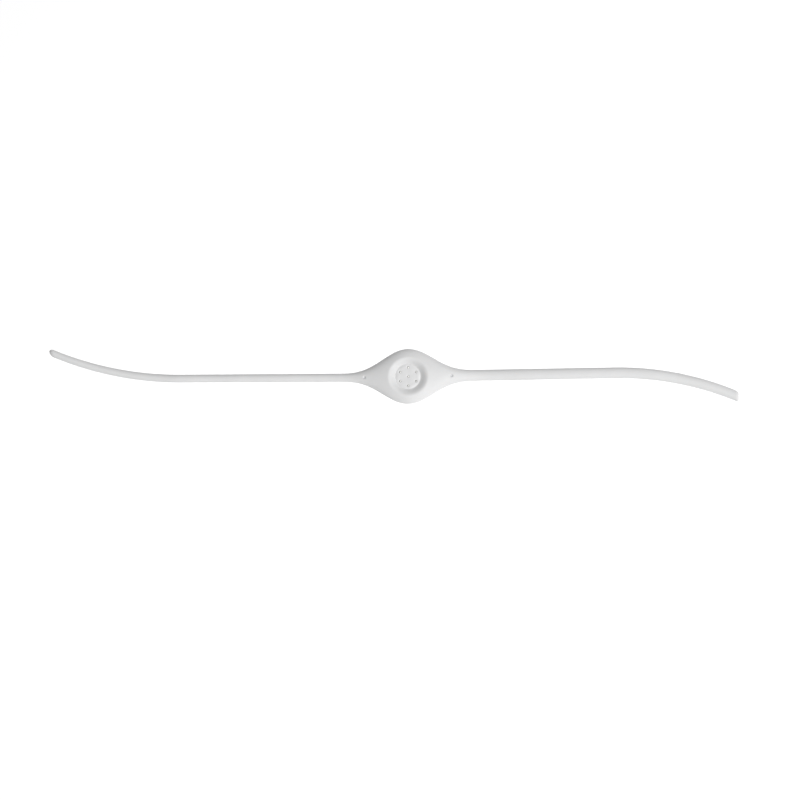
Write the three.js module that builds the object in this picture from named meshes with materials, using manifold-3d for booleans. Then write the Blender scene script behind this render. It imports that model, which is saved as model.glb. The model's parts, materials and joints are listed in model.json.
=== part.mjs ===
// A cordless wrist strap: a pillow-shaped head between two thin arms that bend round the wrist.
// Millimetres. X runs along the strap, Y across it, Z away from the skin. The skin side lies at Z = 0,
// and the origin is the middle of the head's underside.

import * as THREE from "three";
import { mergeVertices } from "three/addons/utils/BufferGeometryUtils.js";
import Module from "manifold-3d";

const wasm = await Module();
wasm.setup();

// ---- Driving dimensions ----

const HEAD_HALF_WIDTH = 8.8;
const HEAD_HEIGHT = 5.6;
const FLANK_REACH = 23.75; // from the head's middle to where its flanks have run out into the arms
const FLANK_HOLLOW = 1.9; // higher is a more hollow flank
const WALL = 1.0;
const SEAM_Z = 1.5; // where the head's cover meets its base

const ARM_HEIGHT = 2.4;
const SWAY_REACH = 20; // the arms take up their own line across the strap over this distance
const ARMS = [
  {
    side: "left",
    sign: -1,
    tipX: 114.7,
    neckHalfWidth: 1.36,
    tipHalfWidth: 1.2,
    sway: -0.3,
    slope: -0.0053,
    bowStart: 72.5,
    bowRadius: 105.6,
    bowSign: 1,
    tipRound: 1.6,
    tipBlunt: 0.25,
  },
  {
    side: "right",
    sign: 1,
    tipX: 105.8,
    neckHalfWidth: 1.78,
    tipHalfWidth: 1.72,
    sway: -0.04,
    slope: 0.0184,
    bowStart: 65.7,
    bowRadius: 99.3,
    bowSign: -1,
    tipRound: 0.9,
    tipBlunt: 0.6,
  },
];

const DISH = { rimRadius: 5.6, floorRadius: 4.0, floorZ: 3.9, rimZ: 5.0 };
const HOLE_RADIUS = 0.3;
const HOLE_RING_RADIUS = 2.9;
const DISC_RADIUS = 4.6;
const DISC_THICKNESS = 0.56;
const GASKET = { innerRadius: 3.9, outerRadius: 4.5 };
const COMB = {
  plateRadius: 3.6,
  plateThickness: 0.2,
  pointRadius: 0.3,
  pointEndRadius: 0.06,
  belowDisc: 0.2, // from the disc's top down to the points' ends
};

const HINGE_X = 17; // the innermost bend of each arm
const LINKS = 11; // how many lengths each arm bends in
const HINGE_Z = ARM_HEIGHT / 2;
const WRIST_HALF_WIDTH = 32.3;
const WRIST_HALF_DEPTH = 24.8;
const WRIST_SQUARENESS = 2.2; // 2 is an ellipse, and more is a squarer oval

const WIRE_RADIUS = 0.4;
const BORE_RADIUS = 0.6;
const SCREW_X = 14;
const SCREW = { headRadius: 0.68, shankRadius: 0.45, topZ: 3.15, headZ: 2.7, footZ: 0.55 };
const SCREW_SOCKET = { radius: 0.36, depth: 0.28 };
const ACCESS_RADIUS = 0.45; // the hole over a neck screw, which the soft cover stretches round its head
const BLIND_END = 2; // how far an arm's bore stops short of its tip
const WIRE_START = 1.75; // from a neck screw's axis to the inner end of its core wire

const PLATE_RADIUS = 5.5;
const PLATE_Z = 0.5; // the thickness that shows through the base's window
const FLANGE_RADIUS = 6.1;
const FLANGE_THICKNESS = 0.3;
const BOARD = { halfLength: 9, halfWidth: 3.6, bottomZ: 1.7, topZ: 2.2 };
const POST = { x: 8.2, y: 2.2, halfLength: 0.7, halfWidth: 0.6 }; // the base's four supports for the board
const SPRING = { halfSpan: 4, halfWidth: 1.2, thickness: 0.15 };
const HOLLOW_X = 12.6; // how far the head's hollow reaches each way
const GAP = 0.3; // between pieces that move past or are cut by each other
const SEAT = 0.02; // between pieces that rest on each other

// ---- Working dimensions ----

const DISC_TOP = DISH.floorZ - SEAT;
const DISC_BOTTOM = DISC_TOP - DISC_THICKNESS;
const WIRE_Z = HINGE_Z;
const FAR = 30; // longer than any piece that a cutter passes through

// ---- The strap's form ----

function armAt(x) {
  return x < 0 ? ARMS[0] : ARMS[1];
}

// Two distances out along an arm, as the lower X and the higher.
function ordered(arm, innerX, outerX) {
  return arm.sign > 0 ? [innerX, outerX] : [-outerX, -innerX];
}

// 1 at the head's middle, 0 where the arms begin.
function headShare(x) {
  const along = Math.min(Math.abs(x) / FLANK_REACH, 1);
  return (1 + Math.cos(Math.PI * along)) / 2;
}

// 1 along the arm, shrinking over its last stretch to round the tip.
function tipShare(x) {
  const arm = armAt(x);
  const into = Math.max(0, Math.abs(x) - (arm.tipX - arm.tipRound)) / arm.tipRound;
  return Math.max(arm.tipBlunt, Math.sqrt(Math.max(0, 1 - into ** 2)));
}

function halfWidth(x) {
  const arm = armAt(x);
  const along = Math.abs(x) / arm.tipX;
  const armHalf = THREE.MathUtils.lerp(arm.neckHalfWidth, arm.tipHalfWidth, along);
  const flank = headShare(x) ** FLANK_HOLLOW;
  return THREE.MathUtils.lerp(armHalf, HEAD_HALF_WIDTH, flank) * tipShare(x);
}

function height(x) {
  return THREE.MathUtils.lerp(ARM_HEIGHT, HEAD_HEIGHT, headShare(x));
}

function centreY(x) {
  const arm = armAt(x);
  const along = Math.abs(x);
  const past = Math.max(0, along - arm.bowStart);
  const bow = arm.bowRadius - Math.sqrt(arm.bowRadius ** 2 - past ** 2);
  const sway = arm.sway * THREE.MathUtils.smoothstep(along, 0, SWAY_REACH);
  return sway + arm.slope * along + arm.bowSign * bow;
}

// A section one wide each way from its middle and one high: flat towards the skin, domed away from it.
function bandSection() {
  const flat = 0.6;
  const waist = 0.45;
  const section = new THREE.Shape();
  section.moveTo(-flat, 0);
  section.lineTo(flat, 0);
  section.bezierCurveTo(0.85, 0, 1, 0.2, 1, waist);
  section.bezierCurveTo(1, 0.8, 0.62, 1, 0, 1);
  section.bezierCurveTo(-0.62, 1, -1, 0.8, -1, waist);
  section.bezierCurveTo(-1, 0.2, -0.85, 0, -flat, 0);
  return section;
}

// ---- Solids and cuts ----

function solid(geometry) {
  const bare = geometry.clone();
  bare.deleteAttribute("normal");
  bare.deleteAttribute("uv");
  const merged = mergeVertices(bare);
  const vertProperties = Float32Array.from(merged.attributes.position.array);
  const triVerts = Uint32Array.from(merged.index.array);
  return new wasm.Manifold(new wasm.Mesh({ numProp: 3, vertProperties, triVerts }));
}

function geometryOf(manifold) {
  const mesh = manifold.getMesh();
  const geometry = new THREE.BufferGeometry();
  geometry.setAttribute("position", new THREE.BufferAttribute(mesh.vertProperties, 3));
  geometry.setIndex(new THREE.BufferAttribute(mesh.triVerts, 1));
  geometry.computeVertexNormals();
  return geometry;
}

// Carries a flat section along X. place(x, u, v) gives the Y and Z of the section's point (u, v).
function sweep(section, lowX, highX, steps, curveSegments, place) {
  const geometry = new THREE.ExtrudeGeometry(section, {
    depth: 1,
    steps,
    bevelEnabled: false,
    curveSegments,
  });
  const points = geometry.attributes.position;
  for (let i = 0; i < points.count; i += 1) {
    const x = THREE.MathUtils.lerp(lowX, highX, points.getZ(i));
    const [y, z] = place(x, points.getX(i), points.getY(i));
    points.setXYZ(i, x, y, z);
  }
  return geometry;
}

// The strap's own form between two places, or a smaller form inside it.
function band(lowX, highX, steps, curveSegments, inset = 0, floorZ = 0) {
  return sweep(bandSection(), lowX, highX, steps, curveSegments, (x, u, v) => {
    const y = centreY(x) + u * (halfWidth(x) - inset);
    const z = floorZ + v * (height(x) - inset - floorZ);
    return [y, z];
  });
}

// A round rod along the strap's middle line, at the height of the core wire.
function rod(lowX, highX, steps, radius) {
  const round = new THREE.Shape();
  round.absarc(0, 0, 1, 0, 2 * Math.PI);
  const sides = 4;
  return sweep(round, lowX, highX, steps, sides, (x, u, v) => {
    return [centreY(x) + u * radius, WIRE_Z + v * radius];
  });
}

// A turned piece about Z, from [radius, z] points that run round its section, outer side first.
function turned(points, sides) {
  const profile = points.map(([radius, z]) => new THREE.Vector2(radius, z));
  const geometry = new THREE.LatheGeometry(profile, sides);
  geometry.rotateX(Math.PI / 2);
  return geometry;
}

function disc(radius, lowZ, highZ, sides) {
  return turned([[0, lowZ], [radius, lowZ], [radius, highZ], [0, highZ]], sides);
}

function ring(innerRadius, outerRadius, lowZ, highZ, sides) {
  const section = [
    [innerRadius, lowZ],
    [outerRadius, lowZ],
    [outerRadius, highZ],
    [innerRadius, highZ],
    [innerRadius, lowZ],
  ];
  return turned(section, sides);
}

function block(low, high) {
  const size = high.map((value, i) => value - low[i]);
  const geometry = new THREE.BoxGeometry(...size);
  geometry.translate(...high.map((value, i) => (value + low[i]) / 2));
  return geometry;
}

// An outline in X and Z, carried across the strap from -halfDepth to halfDepth.
function crosswise(outline, halfDepth, curveSegments = 8) {
  const geometry = new THREE.ExtrudeGeometry(outline, {
    depth: 2 * halfDepth,
    bevelEnabled: false,
    curveSegments,
  });
  geometry.translate(0, 0, -halfDepth);
  geometry.rotateX(Math.PI / 2);
  return geometry;
}

// What is left between two bends: upright faces above each hinge, and below it faces cut back by a
// little over half of its bend, so that the two sides close on each other without meeting.
function between(lowX, lowBend, highX, highBend) {
  const spare = THREE.MathUtils.degToRad(1);
  const reach = 2 * ARM_HEIGHT;
  const cutBack = (bend) => reach * Math.tan(bend / 2 + spare);
  const low = lowX + GAP / 2;
  const high = highX - GAP / 2;
  const outline = new THREE.Shape();
  outline.moveTo(low, HINGE_Z);
  outline.lineTo(low + cutBack(lowBend), HINGE_Z - reach);
  outline.lineTo(high - cutBack(highBend), HINGE_Z - reach);
  outline.lineTo(high, HINGE_Z);
  outline.lineTo(high, HINGE_Z + 2 * HEAD_HEIGHT);
  outline.lineTo(low, HINGE_Z + 2 * HEAD_HEIGHT);
  return solid(crosswise(outline, FAR));
}

// ---- Bends ----

function hingeX(arm, link) {
  return HINGE_X + (link * (arm.tipX - HINGE_X)) / LINKS;
}

// A point of the oval that the hinges lie on when the strap is round the wrist, t radians from its top.
function onOval(t) {
  const power = 2 / WRIST_SQUARENESS;
  const across = Math.sign(Math.sin(t)) * Math.abs(Math.sin(t)) ** power;
  const up = Math.sign(Math.cos(t)) * Math.abs(Math.cos(t)) ** power;
  return new THREE.Vector2(
    (WRIST_HALF_WIDTH + HINGE_Z) * across,
    (WRIST_HALF_DEPTH + HINGE_Z) * up,
  );
}

// How far each hinge of an arm bends to lie round the wrist, with the head flat on top of it.
function bends(arm) {
  const length = (arm.tipX - HINGE_X) / LINKS;
  const found = [];
  let t = Math.asin((HINGE_X / (WRIST_HALF_WIDTH + HINGE_Z)) ** (WRIST_SQUARENESS / 2));
  let heading = 0;
  for (let link = 0; link < LINKS; link += 1) {
    const from = onOval(t);
    let near = t;
    let far = t + 1;
    while (far - near > 1e-9) {
      const middle = (near + far) / 2;
      if (onOval(middle).distanceTo(from) < length) {
        near = middle;
      } else {
        far = middle;
      }
    }
    const step = onOval(near).sub(from);
    const turnedTo = Math.atan2(-step.y, step.x);
    const wrapped = turnedTo < heading - Math.PI / 2 ? turnedTo + 2 * Math.PI : turnedTo;
    found.push(wrapped - heading);
    heading = wrapped;
    t = near;
  }
  return found;
}

// ---- Materials ----

function finish(colour, roughness, metalness = 0) {
  return new THREE.MeshStandardMaterial({ color: colour, roughness, metalness });
}

const FINISHES = {
  softWhite: finish(0xe6e7e8, 0.62),
  shellWhite: finish(0xe9eaeb, 0.5),
  gasket: finish(0x4a4c50, 0.8),
  steel: finish(0xb9bcc0, 0.28, 1),
  screwSteel: finish(0x8d9095, 0.35, 1),
  brass: finish(0xc9a353, 0.3, 1),
  nickel: finish(0xc9c8c2, 0.3, 1),
  board: finish(0x1f6b3c, 0.55),
  ceramic: finish(0x23252a, 0.45),
};

const strap = new THREE.Group();

function add(name, geometry, material) {
  const mesh = new THREE.Mesh(geometry, material);
  mesh.name = name;
  strap.add(mesh);
  return mesh;
}

// ---- The head's two shells ----

const neckBends = ARMS.map((arm) => bends(arm)[0]);

function headForm() {
  const whole = solid(band(-HINGE_X, HINGE_X, 26, 7));
  return whole.intersect(between(-HINGE_X, neckBends[0], HINGE_X, neckBends[1]));
}

function headHollow() {
  return solid(band(-HOLLOW_X, HOLLOW_X, 16, 4, WALL, PLATE_Z));
}

function dishCut() {
  const { rimRadius, floorRadius, floorZ, rimZ } = DISH;
  const belowRim = [(rimRadius + 2 * floorRadius) / 3, floorZ + (rimZ - floorZ) / 4];
  const profile = [
    [0, floorZ],
    [floorRadius, floorZ],
    belowRim,
    [rimRadius, rimZ],
    [rimRadius + 1, HEAD_HEIGHT],
    [0, HEAD_HEIGHT],
  ];
  return solid(turned(profile, 36));
}

// The room for a neck's screw, its eyelet and the end of its core wire.
function neckCuts(arm) {
  const x = arm.sign * SCREW_X;
  const screwHole = solid(disc(SCREW.shankRadius + GAP / 2, PLATE_Z, HEAD_HEIGHT, 12));
  const pocketRadius = SCREW.headRadius + GAP / 2;
  const pocket = solid(disc(pocketRadius, SCREW.headZ - SEAT, SCREW.topZ + SEAT, 16));
  const accessHole = solid(disc(ACCESS_RADIUS, SCREW.topZ, HEAD_HEIGHT, 16));
  const roomRadius = 0.85; // round the eyelet's barrel
  const slotHalf = 1.75;
  const slotFloor = 0.85;
  const [slotLow, slotHigh] = ordered(arm, BOARD.halfLength - 1, SCREW_X + 1.7);
  const slot = block([slotLow, -slotHalf, slotFloor], [slotHigh, slotHalf, SEAM_Z]);
  const barrelRoom = solid(rod(...ordered(arm, SCREW_X + 0.5, HINGE_X + 1), 2, roomRadius));
  return screwHole
    .add(pocket)
    .add(accessHole)
    .translate([x, centreY(x), 0])
    .add(solid(slot).translate([0, centreY(x), 0]))
    .add(barrelRoom);
}

function half(lowZ, highZ) {
  return solid(block([-FAR, -FAR, lowZ], [FAR, FAR, highZ]));
}

function headCover() {
  const podRadius = DISC_RADIUS + GAP / 2 + WALL;
  const podZ = BOARD.topZ + 0.05;
  const pod = solid(disc(podRadius, podZ, HEAD_HEIGHT, 36)).intersect(headForm());
  const discSeat = solid(disc(DISC_RADIUS + GAP / 2, SEAM_Z, DISH.floorZ, 36));
  return headForm()
    .subtract(headHollow())
    .add(pod)
    .subtract(dishCut())
    .subtract(discSeat)
    .subtract(neckCuts(ARMS[0]))
    .subtract(neckCuts(ARMS[1]))
    .intersect(half(SEAM_Z + SEAT / 2, 2 * HEAD_HEIGHT));
}

function headBase() {
  const window = solid(disc(PLATE_RADIUS + GAP, -1, PLATE_Z + 1, 36));
  const flangeRoom = solid(disc(FLANGE_RADIUS + GAP, PLATE_Z, HEAD_HEIGHT, 36));
  let base = headForm()
    .subtract(headHollow())
    .subtract(window)
    .subtract(flangeRoom)
    .subtract(neckCuts(ARMS[0]))
    .subtract(neckCuts(ARMS[1]))
    .intersect(half(-1, SEAM_Z - SEAT / 2));
  for (const x of [-POST.x, POST.x]) {
    for (const y of [-POST.y, POST.y]) {
      const low = [x - POST.halfLength, y - POST.halfWidth, PLATE_Z - 0.1];
      const high = [x + POST.halfLength, y + POST.halfWidth, BOARD.bottomZ - SEAT];
      base = base.add(solid(block(low, high)));
    }
  }
  return base;
}

add("head_cover", geometryOf(headCover()), FINISHES.softWhite);
add("head_base", geometryOf(headBase()), FINISHES.shellWhite);

// ---- Inside the dish: disc, gasket and emitter comb ----

const holePlaces = [[0, 0]];
for (let i = 0; i < 6; i += 1) {
  const angle = ((i + 0.5) * Math.PI) / 3;
  holePlaces.push([HOLE_RING_RADIUS * Math.cos(angle), HOLE_RING_RADIUS * Math.sin(angle)]);
}

function ventDisc() {
  let vented = solid(disc(DISC_RADIUS, DISC_BOTTOM, DISC_TOP, 36));
  for (const [x, y] of holePlaces) {
    const hole = solid(disc(HOLE_RADIUS, DISC_BOTTOM - 1, DISC_TOP + 1, 12));
    vented = vented.subtract(hole.translate([x, y, 0]));
  }
  return vented;
}

function emitterComb() {
  const plateTop = BOARD.topZ + COMB.plateThickness;
  const pointTop = DISC_TOP - COMB.belowDisc;
  const pointFoot = plateTop - 0.05;
  const point = turned(
    [[0, pointFoot], [COMB.pointRadius, pointFoot], [COMB.pointEndRadius, pointTop], [0, pointTop]],
    8,
  );
  let comb = solid(disc(COMB.plateRadius, BOARD.topZ + SEAT, plateTop, 24));
  for (const [x, y] of holePlaces) {
    comb = comb.add(solid(point).translate([x, y, 0]));
  }
  return comb;
}

add("vent_disc", geometryOf(ventDisc()), FINISHES.shellWhite);
const gasket = ring(GASKET.innerRadius, GASKET.outerRadius, BOARD.topZ + SEAT, DISC_BOTTOM - SEAT, 30);
add("disc_gasket", gasket, FINISHES.gasket);
add("emitter_comb", geometryOf(emitterComb()), FINISHES.nickel);

// ---- Board, resistor, spring and contact plate ----

function boardOutline() {
  const { halfLength, halfWidth: round } = BOARD;
  const straight = halfLength - round;
  const outline = new THREE.Shape();
  outline.absarc(straight, 0, round, -Math.PI / 2, Math.PI / 2);
  outline.absarc(-straight, 0, round, Math.PI / 2, (3 * Math.PI) / 2);
  return outline;
}

function circuitBoard() {
  const thickness = BOARD.topZ - BOARD.bottomZ;
  const geometry = new THREE.ExtrudeGeometry(boardOutline(), {
    depth: thickness,
    bevelEnabled: false,
    curveSegments: 10,
  });
  geometry.translate(0, 0, BOARD.bottomZ);
  return geometry;
}

function contactSpring() {
  const { halfSpan, halfWidth: springHalf, thickness } = SPRING;
  const footZ = PLATE_Z + 0.36;
  const rise = BOARD.bottomZ - 0.04 - thickness - footZ;
  const radius = (halfSpan ** 2 + rise ** 2) / (2 * rise);
  const sweepHalf = Math.asin(halfSpan / radius);
  const centreZ = footZ + rise - radius;
  const up = Math.PI / 2;
  const outline = new THREE.Shape();
  outline.absarc(0, centreZ, radius + thickness, up - sweepHalf, up + sweepHalf);
  outline.absarc(0, centreZ, radius, up + sweepHalf, up - sweepHalf, true);
  return crosswise(outline, springHalf, 10);
}

function contactPlate() {
  const profile = [
    [0, 0],
    [PLATE_RADIUS, 0],
    [PLATE_RADIUS, PLATE_Z + SEAT],
    [FLANGE_RADIUS, PLATE_Z + SEAT],
    [FLANGE_RADIUS, PLATE_Z + FLANGE_THICKNESS],
    [0, PLATE_Z + FLANGE_THICKNESS],
  ];
  return turned(profile, 36);
}

const resistorX = 7.45;
const resistorSize = [1.6, 3.2, 0.55];
const resistor = add("resistor", new THREE.BoxGeometry(...resistorSize), FINISHES.ceramic);
resistor.position.set(resistorX, 0, BOARD.topZ + SEAT + resistorSize[2] / 2);
add("circuit_board", circuitBoard(), FINISHES.board);
add("contact_spring", contactSpring(), FINISHES.brass);
add("contact_plate", contactPlate(), FINISHES.steel);

// ---- Necks: screw and eyelet ----

function neckScrew() {
  const { headRadius, shankRadius, topZ, headZ, footZ } = SCREW;
  const profile = [
    [0, footZ],
    [shankRadius, footZ],
    [shankRadius, headZ],
    [headRadius, headZ],
    [headRadius, topZ],
    [0, topZ],
  ];
  const socket = disc(SCREW_SOCKET.radius, topZ - SCREW_SOCKET.depth, topZ + 1, 6);
  return solid(turned(profile, 16)).subtract(solid(socket));
}

// Lies along +X: a barrel on the wire's end, a ring round the screw, and a tab that reaches the board.
// Its own origin is the middle of the ring.
function coreEyelet() {
  const halfThickness = 0.15;
  const ringRadius = 1.45;
  const tabHalf = 0.8;
  const tabEnd = SCREW_X - BOARD.halfLength + 0.9;
  const plate = solid(disc(ringRadius, -halfThickness, halfThickness, 20));
  const tab = solid(block([-tabEnd, -tabHalf, -halfThickness], [0, tabHalf, halfThickness]));
  const riserTop = BOARD.bottomZ - SEAT - WIRE_Z;
  const riserLow = [-tabEnd, -tabHalf, -halfThickness];
  const riserHigh = [-tabEnd + 2 * halfThickness, tabHalf, riserTop];
  const riser = solid(block(riserLow, riserHigh));
  const barrelLength = 1.5;
  const barrelStart = 1.3;
  const barrel = new THREE.CylinderGeometry(0.68, 0.68, barrelLength, 16);
  barrel.rotateZ(Math.PI / 2);
  barrel.translate(barrelStart + barrelLength / 2, 0, 0);
  const boreLength = 2;
  const boreStart = 1.6;
  const bore = new THREE.CylinderGeometry(0.5, 0.5, boreLength, 16);
  bore.rotateZ(Math.PI / 2);
  bore.translate(boreStart + boreLength / 2, 0, 0);
  return plate
    .add(tab)
    .add(riser)
    .add(solid(barrel))
    .subtract(solid(bore))
    .subtract(solid(disc(SCREW.shankRadius + GAP, -1, 1, 12)));
}

// ---- Arms: sleeves and core wires, in lengths between the hinges ----

function sleeve(arm, link, armBends) {
  const isTip = link === LINKS - 1;
  const innerX = hingeX(arm, link);
  const outerX = isTip ? arm.tipX : hingeX(arm, link + 1);
  const outerBend = isTip ? 0 : armBends[link + 1];
  const keepTo = isTip ? outerX + 1 : outerX;
  const [lowX, highX] = ordered(arm, innerX, outerX);
  const [cutLow, cutHigh] = ordered(arm, innerX, keepTo);
  const [lowBend, highBend] = arm.sign > 0 ? [armBends[link], outerBend] : [outerBend, armBends[link]];
  const blindEnd = isTip ? outerX - BLIND_END : outerX + 1;
  const bore = rod(...ordered(arm, innerX - 1, blindEnd), 2, BORE_RADIUS);
  return solid(band(lowX, highX, isTip ? 10 : 2, 3))
    .intersect(between(cutLow, lowBend, cutHigh, highBend))
    .subtract(solid(bore));
}

function coreWire(arm, link) {
  const isTip = link === LINKS - 1;
  const innerX = hingeX(arm, link) + GAP / 2;
  const outerX = isTip ? arm.tipX - BLIND_END - GAP : hingeX(arm, link + 1) - GAP / 2;
  return rod(...ordered(arm, innerX, outerX), 2, WIRE_RADIUS);
}

for (const arm of ARMS) {
  const armBends = bends(arm);
  const screwX = arm.sign * SCREW_X;
  const screw = add(`neck_screw_${arm.side}`, geometryOf(neckScrew()), FINISHES.screwSteel);
  screw.position.set(screwX, centreY(screwX), 0);
  const eyelet = add(`core_eyelet_${arm.side}`, geometryOf(coreEyelet()), FINISHES.brass);
  eyelet.position.set(screwX, centreY(screwX), WIRE_Z);
  eyelet.rotation.z = arm.sign > 0 ? 0 : Math.PI;
  const root = rod(...ordered(arm, SCREW_X + WIRE_START, HINGE_X - GAP / 2), 1, WIRE_RADIUS);
  add(`core_wire_${arm.side}_root`, root, FINISHES.steel);
  for (let link = 0; link < LINKS; link += 1) {
    const name = `${arm.side}_${link + 1}`;
    add(`sleeve_${name}`, geometryOf(sleeve(arm, link, armBends)), FINISHES.softWhite);
    add(`core_wire_${name}`, coreWire(arm, link), FINISHES.steel);
  }
}

export default strap;
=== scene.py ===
"""A cordless wrist strap, laid out straight: a pillow-shaped head with a round dish, and two thin arms.

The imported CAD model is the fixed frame. Its shells and sleeves are rebuilt here as smooth skins on the
same form, and its inner pieces keep their shapes and get their finishes.
Lengths are in millimetres until a mesh is made, and meshes are in metres.
"""

import json
import math

import bmesh
import bpy
import numpy as np
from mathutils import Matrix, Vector

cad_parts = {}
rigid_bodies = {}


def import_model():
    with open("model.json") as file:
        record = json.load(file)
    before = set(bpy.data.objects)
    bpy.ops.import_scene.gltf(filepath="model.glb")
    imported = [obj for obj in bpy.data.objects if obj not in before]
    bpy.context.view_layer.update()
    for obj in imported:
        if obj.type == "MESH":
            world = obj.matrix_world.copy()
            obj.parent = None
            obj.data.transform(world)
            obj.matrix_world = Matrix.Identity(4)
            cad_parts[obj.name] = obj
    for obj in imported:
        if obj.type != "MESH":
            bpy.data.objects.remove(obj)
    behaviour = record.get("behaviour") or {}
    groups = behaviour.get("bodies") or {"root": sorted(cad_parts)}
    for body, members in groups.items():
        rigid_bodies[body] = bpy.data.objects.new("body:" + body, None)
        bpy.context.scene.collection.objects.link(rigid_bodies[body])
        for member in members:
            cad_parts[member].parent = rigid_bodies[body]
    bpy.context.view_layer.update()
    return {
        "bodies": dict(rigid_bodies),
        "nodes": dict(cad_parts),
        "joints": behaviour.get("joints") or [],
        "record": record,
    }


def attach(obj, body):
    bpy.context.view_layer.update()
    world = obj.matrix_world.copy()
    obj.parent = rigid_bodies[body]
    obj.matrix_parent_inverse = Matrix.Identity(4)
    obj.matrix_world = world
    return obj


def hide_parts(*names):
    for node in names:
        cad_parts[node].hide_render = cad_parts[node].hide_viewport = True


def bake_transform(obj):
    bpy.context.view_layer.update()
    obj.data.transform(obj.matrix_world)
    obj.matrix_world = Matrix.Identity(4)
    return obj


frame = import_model()

MM = 0.001

# ---- The form, as in the CAD ----

HEAD_HALF_WIDTH = 8.8
HEAD_HEIGHT = 5.6
FLANK_REACH = 23.75
FLANK_HOLLOW = 1.9
WALL = 1.0
HOLLOW_FLOOR = 0.5
SEAM_Z = 1.5
ARM_HEIGHT = 2.4
SWAY_REACH = 20.0
ARMS = {
    "left": {
        "sign": -1,
        "tip_x": 114.7,
        "neck_half_width": 1.36,
        "tip_half_width": 1.2,
        "sway": -0.3,
        "slope": -0.0053,
        "bow_start": 72.5,
        "bow_radius": 105.6,
        "bow_sign": 1,
        "tip_round": 1.6,
        "tip_squareness": 2.1,
    },
    "right": {
        "sign": 1,
        "tip_x": 105.8,
        "neck_half_width": 1.78,
        "tip_half_width": 1.72,
        "sway": -0.04,
        "slope": 0.0184,
        "bow_start": 65.7,
        "bow_radius": 99.3,
        "bow_sign": -1,
        "tip_round": 1.1,
        "tip_squareness": 3.0,
    },
}
WIRE_Z = ARM_HEIGHT / 2

DISH_FLOOR_RADIUS = 4.0
DISH_RIM_RADIUS = 5.6
DISH_FLOOR_Z = 3.9
DISH_RIM_Z = 5.0
DISH_WALL_STRAIGHT = 0.72  # the share of the wall's rise that is straight; the rest steepens outwards
DISH_LIP_BLEND = 1.0  # how far in height the rim's rounding reaches
DISH_REACH = 7.3  # past the rim's rounding, where the cover is its plain form again
SEAT_RADIUS = 4.75  # room for the vent disc under the dish's lip
POD_RADIUS = 5.75
POD_Z = 2.25
DISC_RADIUS = 4.6
DISC_TOP = 3.88
DISC_THICKNESS = 0.56
HOLE_RING_RADIUS = 2.9
HOLE_EDGE = 0.55  # where a hole's rounded edge meets the disc's top
HOLE_ROUND = 0.25
PLATE_RADIUS = 5.5
PLATE_Z = 0.5
FLANGE_RADIUS = 6.1
WINDOW_RADIUS = 5.8
SCREW_X = 14.0

FLAT_SHARE = 0.6  # of the section's width, how much its underside is flat
FLAT_POINTS = 25
SIDE_STEPS = 60
TOP_STEPS = 110


def lerp(a, b, t):
    return a + (b - a) * t


def smoothstep(t):
    t = np.clip(t, 0, 1)
    return t * t * (3 - 2 * t)


def of_arm(x, key):
    return np.where(np.asarray(x) < 0, ARMS["left"][key], ARMS["right"][key])


def head_share(x):
    """1 at the head's middle, 0 where the arms begin."""
    return (1 + np.cos(np.pi * np.minimum(np.abs(x) / FLANK_REACH, 1))) / 2


def half_width(x):
    along = np.abs(x) / of_arm(x, "tip_x")
    arm_half = lerp(of_arm(x, "neck_half_width"), of_arm(x, "tip_half_width"), along)
    return lerp(arm_half, HEAD_HALF_WIDTH, head_share(x) ** FLANK_HOLLOW)


def height(x):
    return lerp(ARM_HEIGHT, HEAD_HEIGHT, head_share(x))


def centre_y(x):
    along = np.abs(x)
    past = np.maximum(0, along - of_arm(x, "bow_start"))
    radius = of_arm(x, "bow_radius")
    bow = radius - np.sqrt(radius**2 - past**2)
    sway = of_arm(x, "sway") * smoothstep(along / SWAY_REACH)
    return sway + of_arm(x, "slope") * along + of_arm(x, "bow_sign") * bow


def bezier(p0, p1, p2, p3, count):
    t = np.linspace(0, 1, count)[:, None]
    p0, p1, p2, p3 = map(np.array, (p0, p1, p2, p3))
    return (1 - t) ** 3 * p0 + 3 * (1 - t) ** 2 * t * p1 + 3 * (1 - t) * t**2 * p2 + t**3 * p3


def half_section():
    """Half of the strap's section, one wide and one high, from its underside's middle to its crown."""
    flat = np.stack([np.linspace(0, FLAT_SHARE, FLAT_POINTS), np.zeros(FLAT_POINTS)], axis=1)
    side = bezier((FLAT_SHARE, 0), (0.85, 0), (1, 0.2), (1, 0.45), SIDE_STEPS)
    top = bezier((1, 0.45), (1, 0.8), (0.62, 1), (0, 1), TOP_STEPS)
    return np.concatenate([flat, side[1:], top[1:]])


SECTION = half_section()
WAIST = int(np.argmax(SECTION[:, 0]))


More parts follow.
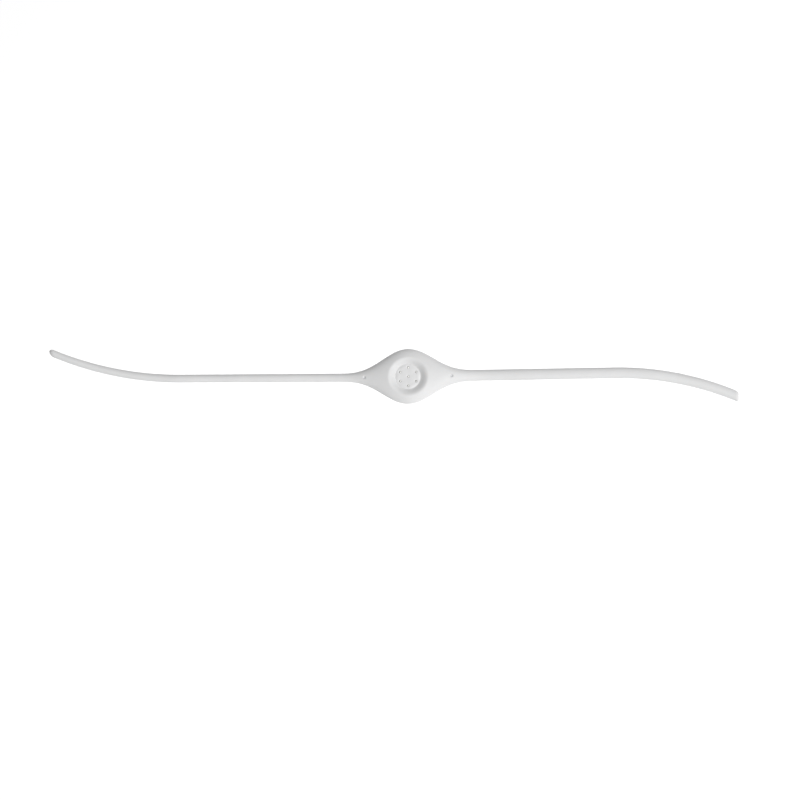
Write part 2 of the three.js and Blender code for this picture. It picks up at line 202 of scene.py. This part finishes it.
class Skin:
    """The strap's surface above or below a seam, or one set into it by inset above floor_z.

    Places on it are (x, q): q is 0 at the crown, or under the head at its middle, and 1 and -1 at the seam.
    """

    def __init__(self, upper, seam_z, inset=0.0, floor_z=0.0):
        self.upper = upper
        self.seam_z = seam_z
        self.inset = inset
        self.floor_z = floor_z

    def _outline(self, x):
        across = SECTION[:, 0] * (half_width(x) - self.inset)
        rise = height(x) - self.inset - self.floor_z
        up = self.floor_z + SECTION[:, 1] * rise
        length = np.concatenate([[0], np.cumsum(np.hypot(np.diff(across), np.diff(up)))])
        first = FLAT_POINTS - 1
        at_seam = np.interp((self.seam_z - self.floor_z) / rise, SECTION[first:, 1], length[first:])
        return across, up, length, at_seam

    def point(self, x, q):
        across, up, length, at_seam = self._outline(x)
        whole = length[-1]
        at = whole - abs(q) * (whole - at_seam) if self.upper else abs(q) * at_seam
        side = math.copysign(1, q)
        y = centre_y(x) + side * np.interp(at, length, across)
        return (x, float(y), float(np.interp(at, length, up)))

    def q_at(self, x, y):
        across, up, length, at_seam = self._outline(x)
        off = y - float(centre_y(x))
        if self.upper:
            at = np.interp(-abs(off), -across[WAIST:], length[WAIST:])
            share = (length[-1] - at) / (length[-1] - at_seam)
        else:
            share = np.interp(abs(off), across[: WAIST + 1], length[: WAIST + 1]) / at_seam
        return math.copysign(share, off)


# ---- Meshes ----

SHARP_DEGREES = 38


def add_object(name, data=None):
    made = bpy.data.objects.new(name, data)
    bpy.context.scene.collection.objects.link(made)
    return made


def smoothed(mesh, sharp_degrees=SHARP_DEGREES):
    mesh.shade_smooth()
    mesh.set_sharp_from_angle(angle=math.radians(sharp_degrees))
    return mesh


def piece_from(name, points, faces):
    """A closed mesh in metres from points in millimetres, smooth except at sharp edges."""
    mesh = bpy.data.meshes.new(name)
    mesh.from_pydata([Vector(p) * MM for p in points], [], faces)
    bm = bmesh.new()
    bm.from_mesh(mesh)
    bmesh.ops.recalc_face_normals(bm, faces=bm.faces)
    bm.to_mesh(mesh)
    bm.free()
    return add_object(name, smoothed(mesh))


def joined_rings(rings, closed_loop=False, start_point=None, end_point=None):
    """Points and faces of equal rings joined in order, then back to the first or closed at end points."""
    count = len(rings[0])
    points = [tuple(map(float, p)) for ring in rings for p in ring]
    pairs = [(i, i + 1) for i in range(len(rings) - 1)]
    if closed_loop:
        pairs.append((len(rings) - 1, 0))
    faces = [
        (a * count + i, a * count + (i + 1) % count, b * count + (i + 1) % count, b * count + i)
        for a, b in pairs
        for i in range(count)
    ]
    for place, ring in ((start_point, 0), (end_point, len(rings) - 1)):
        if place is not None:
            points.append(tuple(map(float, place)))
            hub = len(points) - 1
            faces += [(ring * count + i, ring * count + (i + 1) % count, hub) for i in range(count)]
    return points, faces


def turned_rings(profile, count, centre=(0.0, 0.0)):
    """Rings about an upright line, from (radius, z) pairs."""
    turn = np.linspace(0, 2 * np.pi, count, endpoint=False)
    x, y = centre
    return [[(x + r * math.cos(a), y + r * math.sin(a), z) for a in turn] for r, z in profile]


def arc(centre, radius, start_degrees, end_degrees, steps):
    """(radius, z) pairs round a section's corner."""
    angles = np.radians(np.linspace(start_degrees, end_degrees, steps + 1))
    return [(centre[0] + radius * math.cos(a), centre[1] + radius * math.sin(a)) for a in angles]


# ---- Finishes ----

NOISE_LOW, NOISE_HIGH = 0.3, 0.7  # most of a noise's values lie between these
FINE_BUMP = 0.000004  # metres


class Nodes:
    """A small helper that adds and links shader nodes."""

    def __init__(self, name):
        self.material = bpy.data.materials.new(name)
        self.material.use_nodes = True
        self.tree = self.material.node_tree
        self.tree.nodes.clear()
        self.shader = self.add("ShaderNodeBsdfPrincipled")
        output = self.add("ShaderNodeOutputMaterial")
        self.link(self.shader.outputs["BSDF"], output.inputs["Surface"])
        self.place = self.add("ShaderNodeTexCoord").outputs["Object"]

    def add(self, kind, **settings):
        node = self.tree.nodes.new(kind)
        for key, value in settings.items():
            if key in node.inputs:
                node.inputs[key].default_value = value
            else:
                setattr(node, key, value)
        return node

    def link(self, output, socket):
        self.tree.links.new(output, socket)

    def noise(self, scale, detail):
        """Noise whose features are about 1/scale metres across."""
        node = self.add("ShaderNodeTexNoise", Scale=scale, Detail=detail, Roughness=0.55)
        self.link(self.place, node.inputs["Vector"])
        return node.outputs["Fac"]

    def spread(self, value, low, high, from_low=NOISE_LOW, from_high=NOISE_HIGH):
        """A value's usual range spread over low to high."""
        node = self.add("ShaderNodeMapRange")
        node.inputs["From Min"].default_value = from_low
        node.inputs["From Max"].default_value = from_high
        node.inputs["To Min"].default_value = low
        node.inputs["To Max"].default_value = high
        self.link(value, node.inputs["Value"])
        return node.outputs["Result"]

    def tints(self, value, low, high):
        """A colour between two tints, by a value in a noise's usual range."""
        node = self.add("ShaderNodeValToRGB")
        for stop, at, tint in zip(node.color_ramp.elements, (NOISE_LOW, NOISE_HIGH), (low, high)):
            stop.position = at
            stop.color = (*tint, 1)
        self.link(value, node.inputs["Fac"])
        return node.outputs["Color"]

    def bump(self, value, depth, strength=1.0, under=None):
        node = self.add("ShaderNodeBump", Strength=strength, Distance=depth)
        self.link(value, node.inputs["Height"])
        if under is not None:
            self.link(under, node.inputs["Normal"])
        return node.outputs["Normal"]

    def finish(self, colour, roughness, normal=None):
        self.link(colour, self.shader.inputs["Base Color"])
        self.link(roughness, self.shader.inputs["Roughness"])
        if normal is not None:
            self.link(normal, self.shader.inputs["Normal"])
        return self.material


def soft_white():
    """Matt soft-touch silicone, cool white, with a fine skin and faint handling marks."""
    n = Nodes("soft_white")
    n.shader.inputs["Subsurface Weight"].default_value = 0.12
    n.shader.inputs["Subsurface Radius"].default_value = (1.0, 0.9, 0.8)
    n.shader.inputs["Subsurface Scale"].default_value = 0.0006
    n.shader.inputs["Specular IOR Level"].default_value = 0.35
    n.shader.inputs["Sheen Weight"].default_value = 0.06
    n.shader.inputs["Sheen Roughness"].default_value = 0.5
    tone = n.tints(n.noise(70, 4), (0.606, 0.607, 0.609), (0.65, 0.65, 0.651))
    rough = n.spread(n.noise(420, 4), 0.5, 0.66)
    waves = n.bump(n.noise(160, 2), 0.00006)
    skin = n.bump(n.noise(5200, 3), 0.000012, 0.7, waves)
    return n.finish(tone, rough, skin)


def disc_white():
    """Fine matt moulded plastic, as pale as the silicone and a little glossier."""
    n = Nodes("disc_white")
    n.shader.inputs["Specular IOR Level"].default_value = 0.4
    tone = n.tints(n.noise(160, 3), (0.608, 0.609, 0.611), (0.642, 0.643, 0.644))
    rough = n.spread(n.noise(1300, 3), 0.42, 0.56)
    return n.finish(tone, rough, n.bump(n.noise(8000, 2), 0.000008, 0.6))


def brushed(name, low, high, rings, roughness=(0.22, 0.4), turning=True):
    """Metal with fine lines: circles about the piece's middle, or lines along the strap."""
    n = Nodes(name)
    n.shader.inputs["Metallic"].default_value = 1.0
    if turning:
        flat = n.add("ShaderNodeVectorMath", operation="MULTIPLY")
        flat.inputs[1].default_value = (1, 1, 0)
        n.link(n.place, flat.inputs[0])
        away = n.add("ShaderNodeVectorMath", operation="LENGTH")
        n.link(flat.outputs["Vector"], away.inputs[0])
        where = away.outputs["Value"]
    else:
        parts = n.add("ShaderNodeSeparateXYZ")
        n.link(n.place, parts.inputs["Vector"])
        where = parts.outputs["Y"]
    lines = n.add("ShaderNodeTexNoise", noise_dimensions="1D", Scale=rings, Detail=4.0)
    n.link(where, lines.inputs["W"])
    grain = lines.outputs["Fac"]
    smudge = n.noise(350, 3)
    both = n.add("ShaderNodeMath", operation="MULTIPLY")
    n.link(grain, both.inputs[0])
    n.link(smudge, both.inputs[1])
    tone = n.tints(grain, low, high)
    rough = n.spread(both.outputs["Value"], *roughness, 0.12, 0.42)
    return n.finish(tone, rough, n.bump(grain, 0.000006, 0.5))


def mottled(name, low, high, scale, roughness, depth=FINE_BUMP, metallic=0.0):
    """A plain finish: two close tints, uneven gloss and a fine surface."""
    n = Nodes(name)
    n.shader.inputs["Metallic"].default_value = metallic
    tone = n.tints(n.noise(scale, 3), low, high)
    rough = n.spread(n.noise(scale * 4, 3), *roughness)
    return n.finish(tone, rough, n.bump(n.noise(scale * 12, 2), depth, 0.6))


def plated(name, low, high, scale, roughness):
    return mottled(name, low, high, scale, roughness, metallic=1.0)


FINISHES = {
    "soft_white": soft_white(),
    "disc_white": disc_white(),
    "skin_steel": brushed("skin_steel", (0.5, 0.51, 0.52), (0.66, 0.665, 0.67), 9000),
    "screw_steel": plated("screw_steel", (0.5, 0.505, 0.51), (0.6, 0.605, 0.61), 900, (0.5, 0.62)),
    "core_wire": brushed("core_wire", (0.42, 0.43, 0.45), (0.56, 0.57, 0.58), 16000, (0.3, 0.45), False),
    "nickel": plated("nickel", (0.72, 0.715, 0.7), (0.82, 0.815, 0.8), 800, (0.4, 0.55)),
    "brass": plated("brass", (0.56, 0.38, 0.15), (0.7, 0.5, 0.22), 700, (0.22, 0.36)),
    "gasket": mottled("gasket", (0.03, 0.03, 0.032), (0.05, 0.05, 0.052), 500, (0.6, 0.8), 0.00001),
    "board": mottled("board", (0.02, 0.13, 0.05), (0.03, 0.18, 0.075), 260, (0.3, 0.42), 0.000008),
    "ceramic": mottled("ceramic", (0.02, 0.02, 0.023), (0.035, 0.035, 0.04), 700, (0.35, 0.5), 0.000006),
}
SLOT_OF = {s["node"]: s["material_slot"] for s in frame["record"]["subparts"]}


def finish_in(made, slot):
    made.data.materials.clear()
    made.data.materials.append(FINISHES[slot])


def dress(made, slot, node, body=None):
    """Gives a piece its finish, hides the CAD node that it stands for, and attaches it to its body if one is
    given.
    """
    finish_in(made, slot)
    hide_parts(node)
    if body:
        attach(made, body)


# ---- Camera, floor and light ----

VIEW_WIDTH = 0.256  # how much of the floor the square picture takes in
VIEW_MIDDLE = (-0.00256, -0.00752)
CAMERA_HEIGHT = 1.5
SENSOR_WIDTH = 36.0
FLOOR_HALF = 6.0
FLOOR_DROP = 0.06  # millimetres, so that no face of the strap lies in the floor
KEY_AZIMUTH, KEY_ELEVATION, KEY_DISTANCE = -28, 56, 1.9
KEY_SIZE = 0.95
KEY_POWER = 38.8
WORLD_STRENGTH = 0.3

camera_data = bpy.data.cameras.new("camera")
camera_data.sensor_width = SENSOR_WIDTH
camera_data.lens = SENSOR_WIDTH * CAMERA_HEIGHT / VIEW_WIDTH
camera_data.clip_start = 0.05
camera_data.clip_end = 20.0
camera = add_object("camera", camera_data)
camera.location = (*VIEW_MIDDLE, CAMERA_HEIGHT)
bpy.context.scene.camera = camera
bpy.context.scene.view_settings.view_transform = "Standard"


def floor():
    corners = [(-1, -1), (1, -1), (1, 1), (-1, 1)]
    mesh = bpy.data.meshes.new("floor")
    mesh.from_pydata([(x * FLOOR_HALF, y * FLOOR_HALF, 0) for x, y in corners], [], [(0, 1, 2, 3)])
    made = add_object("floor", mesh)
    made.location.z = -FLOOR_DROP * MM
    n = Nodes("floor")
    n.shader.inputs["Specular IOR Level"].default_value = 0.2
    tone = n.tints(n.noise(3, 2), (0.965, 0.965, 0.965), (0.985, 0.985, 0.985))
    mesh.materials.append(n.finish(tone, n.spread(n.noise(40, 2), 0.7, 0.85)))
    return made


def key_light():
    """A soft light on the head that casts no shadow, as there is none in the photograph."""
    data = bpy.data.lights.new("key", "AREA")
    data.size = KEY_SIZE
    data.energy = KEY_POWER
    data.use_shadow = False
    a, e = math.radians(KEY_AZIMUTH), math.radians(KEY_ELEVATION)
    out = KEY_DISTANCE * math.cos(e)
    made = add_object("key", data)
    made.location = (out * math.cos(a), out * math.sin(a), KEY_DISTANCE * math.sin(e))
    made.rotation_mode = "QUATERNION"
    made.rotation_quaternion = (-made.location).to_track_quat("-Z", "Y")


stage_floor = floor()
key_light()

world = bpy.data.worlds.new("world")
world.use_nodes = True
background = world.node_tree.nodes["Background"]
background.inputs["Color"].default_value = (1, 1, 1, 1)
background.inputs["Strength"].default_value = WORLD_STRENGTH
bpy.context.scene.world = world

# ---- The head's shells ----

HEAD_END = 15.0  # where the shells end and the arms' skin takes over
SEAM_CHAMFER = 0.06
SEAM_GAP = 0.01
SPOKES_LONG = 72
SPOKES_END = 20
SPOKE_CROWDING = 1.4  # over 1 sets the long sides' spokes closer together near the head's middle
END_SPREAD = 20.0  # degrees each side of the X axis that lead to an end
DISH_CLEARANCE = 0.02  # how far the dish's wall stands off the CAD's
LIP_ROUND = 0.01
POD_ROUND = 0.1
WINDOW_ROUND = 0.14  # of the base's edge round the contact plate
WINDOW_ROUND_MIDDLE = (0.04, 0.05)  # out and up from the window's wall, half-way round that edge
WINDOW_LEDGE = 0.2
DISH_RINGS = 34
COVER_RINGS = 30
BASE_RINGS = 26
INSIDE_RINGS = 8


def spokes():
    """(angle, x, q) for each spoke: its angle round the dish, and where it meets the shells' edge."""
    found = []
    for turn in (0, 180):
        side = 1 if turn == 0 else -1
        for i in range(SPOKES_END):
            share = i / SPOKES_END
            degrees = turn + lerp(-END_SPREAD, END_SPREAD, share)
            found.append((math.radians(degrees), side * HEAD_END, side * lerp(-1, 1, share)))
        for i in range(SPOKES_LONG):
            share = i / SPOKES_LONG
            degrees = turn + lerp(END_SPREAD, 180 - END_SPREAD, share)
            along = 1 - 2 * share
            x = side * HEAD_END * math.copysign(abs(along) ** SPOKE_CROWDING, along)
            found.append((math.radians(degrees), x, side))
    return found


SPOKES = spokes()


def circle_on(skin, radius):
    """The places on a skin over a circle about the head's middle, as (x, q)."""
    round_it = [(radius * math.cos(a), radius * math.sin(a)) for a, _, _ in SPOKES]
    return [(x, skin.q_at(x, y)) for x, y in round_it]


def rings_to_edge(skin, radius, steps):
    """Rings on a skin, from a circle about the head's middle out to the shells' edge."""
    inner = circle_on(skin, radius)
    outer = [(x, q) for _, x, q in SPOKES]
    rings = []
    for step in range(steps + 1):
        share = step / steps
        between = [(lerp(a, x, share), lerp(b, q, share)) for (a, b), (x, q) in zip(inner, outer)]
        rings.append([skin.point(x, q) for x, q in between])
    return rings


def circle_at(radius, z):
    return [(radius * math.cos(a), radius * math.sin(a), z) for a, _, _ in SPOKES]


def dish_wall(radius):
    share = (radius - DISH_FLOOR_RADIUS) / (DISH_RIM_RADIUS - DISH_FLOOR_RADIUS)
    rise = DISH_WALL_STRAIGHT * share + (1 - DISH_WALL_STRAIGHT) * share * share
    return DISH_FLOOR_Z + (DISH_RIM_Z - DISH_FLOOR_Z) * rise


def softer_min(a, b, reach):
    """The lower of two heights, rounded over where they are within reach of each other."""
    near = max(reach - abs(a - b), 0) / reach
    return min(a, b) - near * near * reach / 4


def head_cover():
    skin = Skin(True, SEAM_Z + SEAM_GAP + SEAM_CHAMFER)
    edge = Skin(True, SEAM_Z + SEAM_GAP, SEAM_CHAMFER)
    inside = Skin(True, SEAM_Z + SEAM_GAP, WALL, HOLLOW_FLOOR)
    lip = DISH_FLOOR_RADIUS + DISH_CLEARANCE
    rings = []
    for radius in np.linspace(lip + LIP_ROUND, DISH_REACH, DISH_RINGS)[:-1]:
        ring = []
        for (x, q), (a, _, _) in zip(circle_on(skin, radius), SPOKES):
            crown = skin.point(x, q)[2]
            z = softer_min(crown, dish_wall(radius) + DISH_CLEARANCE, DISH_LIP_BLEND)
            ring.append((x, radius * math.sin(a), z))
        rings.append(ring)
    rings += rings_to_edge(skin, DISH_REACH, COVER_RINGS)
    rings.append([edge.point(x, q) for _, x, q in SPOKES])
    rings += reversed(rings_to_edge(inside, POD_RADIUS + POD_ROUND, INSIDE_RINGS))
    rings += [circle_at(POD_RADIUS, POD_Z), circle_at(SEAT_RADIUS, POD_Z)]
    rings += [circle_at(SEAT_RADIUS, DISH_FLOOR_Z), circle_at(lip, DISH_FLOOR_Z)]
    return piece_from("head_cover_skin", *joined_rings(rings, closed_loop=True))


def head_base():
    skin = Skin(False, SEAM_Z - SEAM_GAP - SEAM_CHAMFER)
    edge = Skin(False, SEAM_Z - SEAM_GAP, SEAM_CHAMFER)
    inside = Skin(False, SEAM_Z - SEAM_GAP, WALL, HOLLOW_FLOOR)
    out, up = WINDOW_ROUND_MIDDLE
    rings = [circle_at(WINDOW_RADIUS, HOLLOW_FLOOR), circle_at(WINDOW_RADIUS, WINDOW_ROUND)]
    rings.append(circle_at(WINDOW_RADIUS + out, up))
    rings += rings_to_edge(skin, WINDOW_RADIUS + WINDOW_ROUND, BASE_RINGS)
    rings.append([edge.point(x, q) for _, x, q in SPOKES])
    rings += reversed(rings_to_edge(inside, WINDOW_RADIUS + WINDOW_LEDGE, INSIDE_RINGS))
    return piece_from("head_base_skin", *joined_rings(rings, closed_loop=True))


def cut_away(made, cutter):
    """Cuts one closed mesh from another, and removes the cutter."""
    cut = made.modifiers.new("cut", "BOOLEAN")
    cut.operation = "DIFFERENCE"
    cut.solver = "EXACT"
    cut.object = cutter
    bpy.context.view_layer.update()
    cut_made = made.evaluated_get(bpy.context.evaluated_depsgraph_get())
    result = bpy.data.meshes.new_from_object(cut_made)
    made.modifiers.clear()
    made.data = smoothed(result)
    bpy.data.objects.remove(cutter)


ACCESS_RADIUS = 0.45  # of the hole that a screw is reached through
ACCESS_ROUND = 0.22
ACCESS_SPREAD = 0.24  # how far the hole's rounding reaches outwards and down
POCKET_RADIUS = 0.83
POCKET_FLOOR = 1.0
POCKET_TOP = 3.17
PAST_SURFACE = 0.5  # how far the cutter stands out of the cover
ACCESS_POINTS = 32

cover = head_cover()
base = head_base()
for side, arm in ARMS.items():
    x = arm["sign"] * SCREW_X
    y = float(centre_y(x))
    top = float(height(x))
    profile = [(POCKET_RADIUS, POCKET_FLOOR), (POCKET_RADIUS, POCKET_TOP), (ACCESS_RADIUS, POCKET_TOP)]
    profile += arc((ACCESS_RADIUS + ACCESS_ROUND, top - ACCESS_SPREAD), ACCESS_ROUND, 180, 100, 6)
    profile += [(ACCESS_RADIUS + ACCESS_SPREAD, top + PAST_SURFACE)]
    rings = turned_rings(profile, ACCESS_POINTS, (x, y))
    below, above = (x, y, POCKET_FLOOR), (x, y, top + PAST_SURFACE)
    cut_away(cover, piece_from("cutter", *joined_rings(rings, start_point=below, end_point=above)))
dress(cover, "soft_white", "head_cover", "head")
dress(base, "soft_white", "head_base", "head")

# ---- Vent disc, contact plate and neck screws ----


DISC_BEVEL = 0.1
DISC_SHARP_DEGREES = 50
TURN_POINTS = 128  # round the disc and the plate
HOLE_POINTS = 40


def vent_disc():
    """A round disc with seven holes whose edges are rounded over."""
    bottom = DISC_TOP - DISC_THICKNESS
    bm = bmesh.new()
    tops, bottoms = [], []

    def add_loop(points):
        verts = [bm.verts.new(Vector(p) * MM) for p in points]
        edges = [bm.edges.new((verts[i], verts[(i + 1) % len(verts)])) for i in range(len(verts))]
        return verts, edges

    def add_wall(rings):
        loops = [add_loop(ring) for ring in rings]
        for (a, _), (b, _) in zip(loops, loops[1:]):
            for i in range(len(a)):
                j = (i + 1) % len(a)
                bm.faces.new((a[i], a[j], b[j], b[i]))
        tops.extend(loops[0][1])
        bottoms.extend(loops[-1][1])

    rim = [(DISC_RADIUS - DISC_BEVEL, DISC_TOP), (DISC_RADIUS, DISC_TOP - DISC_BEVEL), (DISC_RADIUS, bottom)]
    add_wall(turned_rings(rim, TURN_POINTS))
    hole = arc((HOLE_EDGE, DISC_TOP - HOLE_ROUND), HOLE_ROUND, 90, 180, 7)
    hole.append((HOLE_EDGE - HOLE_ROUND, bottom))
    add_wall(turned_rings(hole, HOLE_POINTS))
    for degrees in range(30, 390, 60):
        a = math.radians(degrees)
        centre = (HOLE_RING_RADIUS * math.cos(a), HOLE_RING_RADIUS * math.sin(a))
        add_wall(turned_rings(hole, HOLE_POINTS, centre))
    bmesh.ops.triangle_fill(bm, use_beauty=True, edges=tops)
    bmesh.ops.triangle_fill(bm, use_beauty=True, edges=bottoms)
    bmesh.ops.recalc_face_normals(bm, faces=bm.faces)
    mesh = bpy.data.meshes.new("vent_disc_face")
    bm.to_mesh(mesh)
    bm.free()
    return add_object("vent_disc_face", smoothed(mesh, DISC_SHARP_DEGREES))


PLATE_ROUND = 0.12
FLANGE_BOTTOM = PLATE_Z + 0.02
FLANGE_TOP = PLATE_Z + 0.3


def contact_plate():
    """A flat face with a rounded edge, and a flange above it that the base holds."""
    edge = PLATE_ROUND / 4
    profile = [(r, 0.0) for r in np.linspace(0.5, PLATE_RADIUS - 0.5, 8)]
    profile += [(PLATE_RADIUS - PLATE_ROUND, 0.0), (PLATE_RADIUS - edge, edge), (PLATE_RADIUS, PLATE_ROUND)]
    profile += [(PLATE_RADIUS, FLANGE_BOTTOM), (FLANGE_RADIUS, FLANGE_BOTTOM), (FLANGE_RADIUS, FLANGE_TOP)]
    rings = turned_rings(profile, TURN_POINTS)
    closed = joined_rings(rings, start_point=(0, 0, 0), end_point=(0, 0, FLANGE_TOP))
    return piece_from("contact_plate_face", *closed)


SCREW_HEAD_RADIUS = 0.68
SCREW_TOP = 3.15
SCREW_NECK = 2.7
SCREW_TIP = 0.55
SCREW_SHANK_RADIUS = 0.45
SCREW_CHAMFER = 0.1
TIP_CHAMFER = 0.07
SOCKET_RADIUS = 0.33  # to a corner of its hexagon
SOCKET_DEPTH = 0.28
SOCKET_CONE = 0.04  # how much deeper its middle is
SOCKET_CHAMFER = 0.03
SCREW_POINTS = 48


def neck_screw(side, x, y):
    """A cap screw with a chamfered head and a hex socket."""
    angles = [2 * math.pi * i / SCREW_POINTS for i in range(SCREW_POINTS)]
    folded = [(a + math.pi / 6) % (math.pi / 3) - math.pi / 6 for a in angles]
    socket = [SOCKET_RADIUS * math.cos(math.pi / 6) / math.cos(fold) for fold in folded]

    def hexagon(grow, z):
        return [
            (x + (reach + grow) * math.cos(a), y + (reach + grow) * math.sin(a), z)
            for reach, a in zip(socket, angles)
        ]

    rings = [hexagon(0, SCREW_TOP - SOCKET_DEPTH), hexagon(0, SCREW_TOP - SOCKET_CHAMFER)]
    rings.append(hexagon(SOCKET_CHAMFER, SCREW_TOP))
    profile = [(SCREW_HEAD_RADIUS - SCREW_CHAMFER, SCREW_TOP)]
    profile += [(SCREW_HEAD_RADIUS, SCREW_TOP - SCREW_CHAMFER), (SCREW_HEAD_RADIUS, SCREW_NECK)]
    profile += [(SCREW_SHANK_RADIUS, SCREW_NECK), (SCREW_SHANK_RADIUS, SCREW_TIP + SCREW_CHAMFER)]
    profile += [(SCREW_SHANK_RADIUS - TIP_CHAMFER, SCREW_TIP)]
    rings += turned_rings(profile, SCREW_POINTS, (x, y))
    socket_bottom = (x, y, SCREW_TOP - SOCKET_DEPTH - SOCKET_CONE)
    closed = joined_rings(rings, start_point=socket_bottom, end_point=(x, y, SCREW_TIP))
    return piece_from(f"neck_screw_{side}_cap", *closed)


dress(vent_disc(), "disc_white", "vent_disc", "head")
dress(contact_plate(), "skin_steel", "contact_plate", "head")
for side, arm in ARMS.items():
    x = arm["sign"] * SCREW_X
    dress(neck_screw(side, x, float(centre_y(x))), "screw_steel", f"neck_screw_{side}", "head")

# ---- The arms' skins: one for each bend, from the middle of a length to the middle of the next ----

RING_STEP = 0.45
SIDE_POINTS = 17
TYPICAL_HALF_WIDTH = 1.5  # of an arm, for spacing the points round its section
TIP_RINGS = 9
SOLID_TIP = 2.0  # past the end of the bore
# the bore steps down where the eyelet ends
NECK_BORE = 0.85
ARM_BORE = 0.63
BORE_STEP_X = 17.2
BORE_STEP_LENGTH = 1.2


def section_samples():
    """Places round the section, close to evenly spaced on an arm."""
    shape = SECTION * np.array([TYPICAL_HALF_WIDTH, ARM_HEIGHT])
    length = np.concatenate([[0], np.cumsum(np.hypot(*np.diff(shape, axis=0).T))])
    at = np.linspace(0, length[-1], SIDE_POINTS)
    half = np.stack([np.interp(at, length, SECTION[:, i]) for i in (0, 1)], axis=1)
    other = half[-2:0:-1] * np.array([-1, 1])
    return np.concatenate([half, other])


RING = section_samples()
BORE_TURN = np.linspace(-np.pi / 2, 1.5 * np.pi, len(RING), endpoint=False)


def on_middle(x):
    """A point of the arm's middle line, where its wire lies."""
    return (x, float(centre_y(x)), WIRE_Z)


def skin_ring(x, keep=1.0):
    """The section at x, drawn in towards the middle line to the share that is kept."""
    y = float(centre_y(x))
    width = float(half_width(x)) * keep
    tall = float(height(x))
    return [(x, y + u * width, WIRE_Z + (v * tall - WIRE_Z) * keep) for u, v in RING]


def bore_ring(x):
    radius = lerp(NECK_BORE, ARM_BORE, float(smoothstep((abs(x) - BORE_STEP_X) / BORE_STEP_LENGTH)))
    y = float(centre_y(x))
    return [(x, y + radius * math.cos(a), WIRE_Z + radius * math.sin(a)) for a in BORE_TURN]


def evenly(start, end):
    return np.linspace(start, end, max(2, round(abs(end - start) / RING_STEP) + 1))


def arm_skin(name, arm, start, end):
    sign = arm["sign"]
    outer = [skin_ring(sign * u) for u in evenly(start, end)]
    inner = [bore_ring(sign * u) for u in evenly(start, end)]
    return piece_from(name, *joined_rings(outer + inner[::-1], closed_loop=True))


def arm_end_skin(name, arm, start):
    """The outermost skin, which runs on past the last bend and closes at the tip."""
    sign, tip = arm["sign"], arm["tip_x"]
    round_start = tip - arm["tip_round"]
    outer = [skin_ring(sign * u) for u in evenly(start, round_start)]
    for into in np.sin(np.linspace(0, np.pi / 2, TIP_RINGS + 2)[1:-1]):
        keep = (1 - into ** arm["tip_squareness"]) ** (1 / arm["tip_squareness"])
        outer.append(skin_ring(sign * lerp(round_start, tip, into), keep))
    bore_end = tip - SOLID_TIP
    inner = [bore_ring(sign * u) for u in evenly(start, bore_end)]
    ends = {"start_point": on_middle(sign * bore_end), "end_point": on_middle(sign * tip)}
    return piece_from(name, *joined_rings(inner[::-1] + outer, **ends))


hinges = {j["name"]: j for j in frame["joints"]}
for side, arm in ARMS.items():
    places = []
    while f"bend_{side}_{len(places) + 1}" in hinges:
        places.append(hinges[f"bend_{side}_{len(places) + 1}"])
    xs = [abs(j["pos_m"][0]) / MM for j in places]
    middles = [HEAD_END] + [(a + b) / 2 for a, b in zip(xs, xs[1:])]
    last_reach = xs[-1] + (xs[-1] - xs[-2]) / 2
    for i, joint in enumerate(places):
        name = f"arm_skin_{side}_{i + 1}"
        is_last = i == len(places) - 1
        start = middles[i]
        end = last_reach if is_last else middles[i + 1]
        made = arm_end_skin(name, arm, start) if is_last else arm_skin(name, arm, start, end)
        dress(made, "soft_white", f"sleeve_{side}_{i + 1}")
        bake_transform(made)

# ---- The floor sinks under arms that bend below it ----

FLOOR_CLEARANCE = WIRE_Z + FLOOR_DROP  # from an arm's middle line down to the floor


def keep_floor_under(body, point):
    """Keeps the floor below a point of the middle line that moves with a body."""
    probe = add_object(f"floor_probe_{body}")
    probe.location = Vector(point) * MM
    probe.parent = frame["bodies"][body]
    limit = stage_floor.constraints.new("FLOOR")
    limit.target = probe
    limit.floor_location = "FLOOR_NEGATIVE_Z"
    limit.offset = -FLOOR_CLEARANCE * MM


for side, arm in ARMS.items():
    bends = [j for j in frame["joints"] if j["name"].startswith(f"bend_{side}_")]
    starts = [abs(j["pos_m"][0]) / MM for j in bends]
    for joint, end in zip(bends, [*starts[1:], arm["tip_x"]]):
        keep_floor_under(joint["child"], on_middle(arm["sign"] * end))

# ---- Inner pieces that keep their CAD shapes ----

for name, node in frame["nodes"].items():
    if not node.hide_render:
        finish_in(node, SLOT_OF[name])
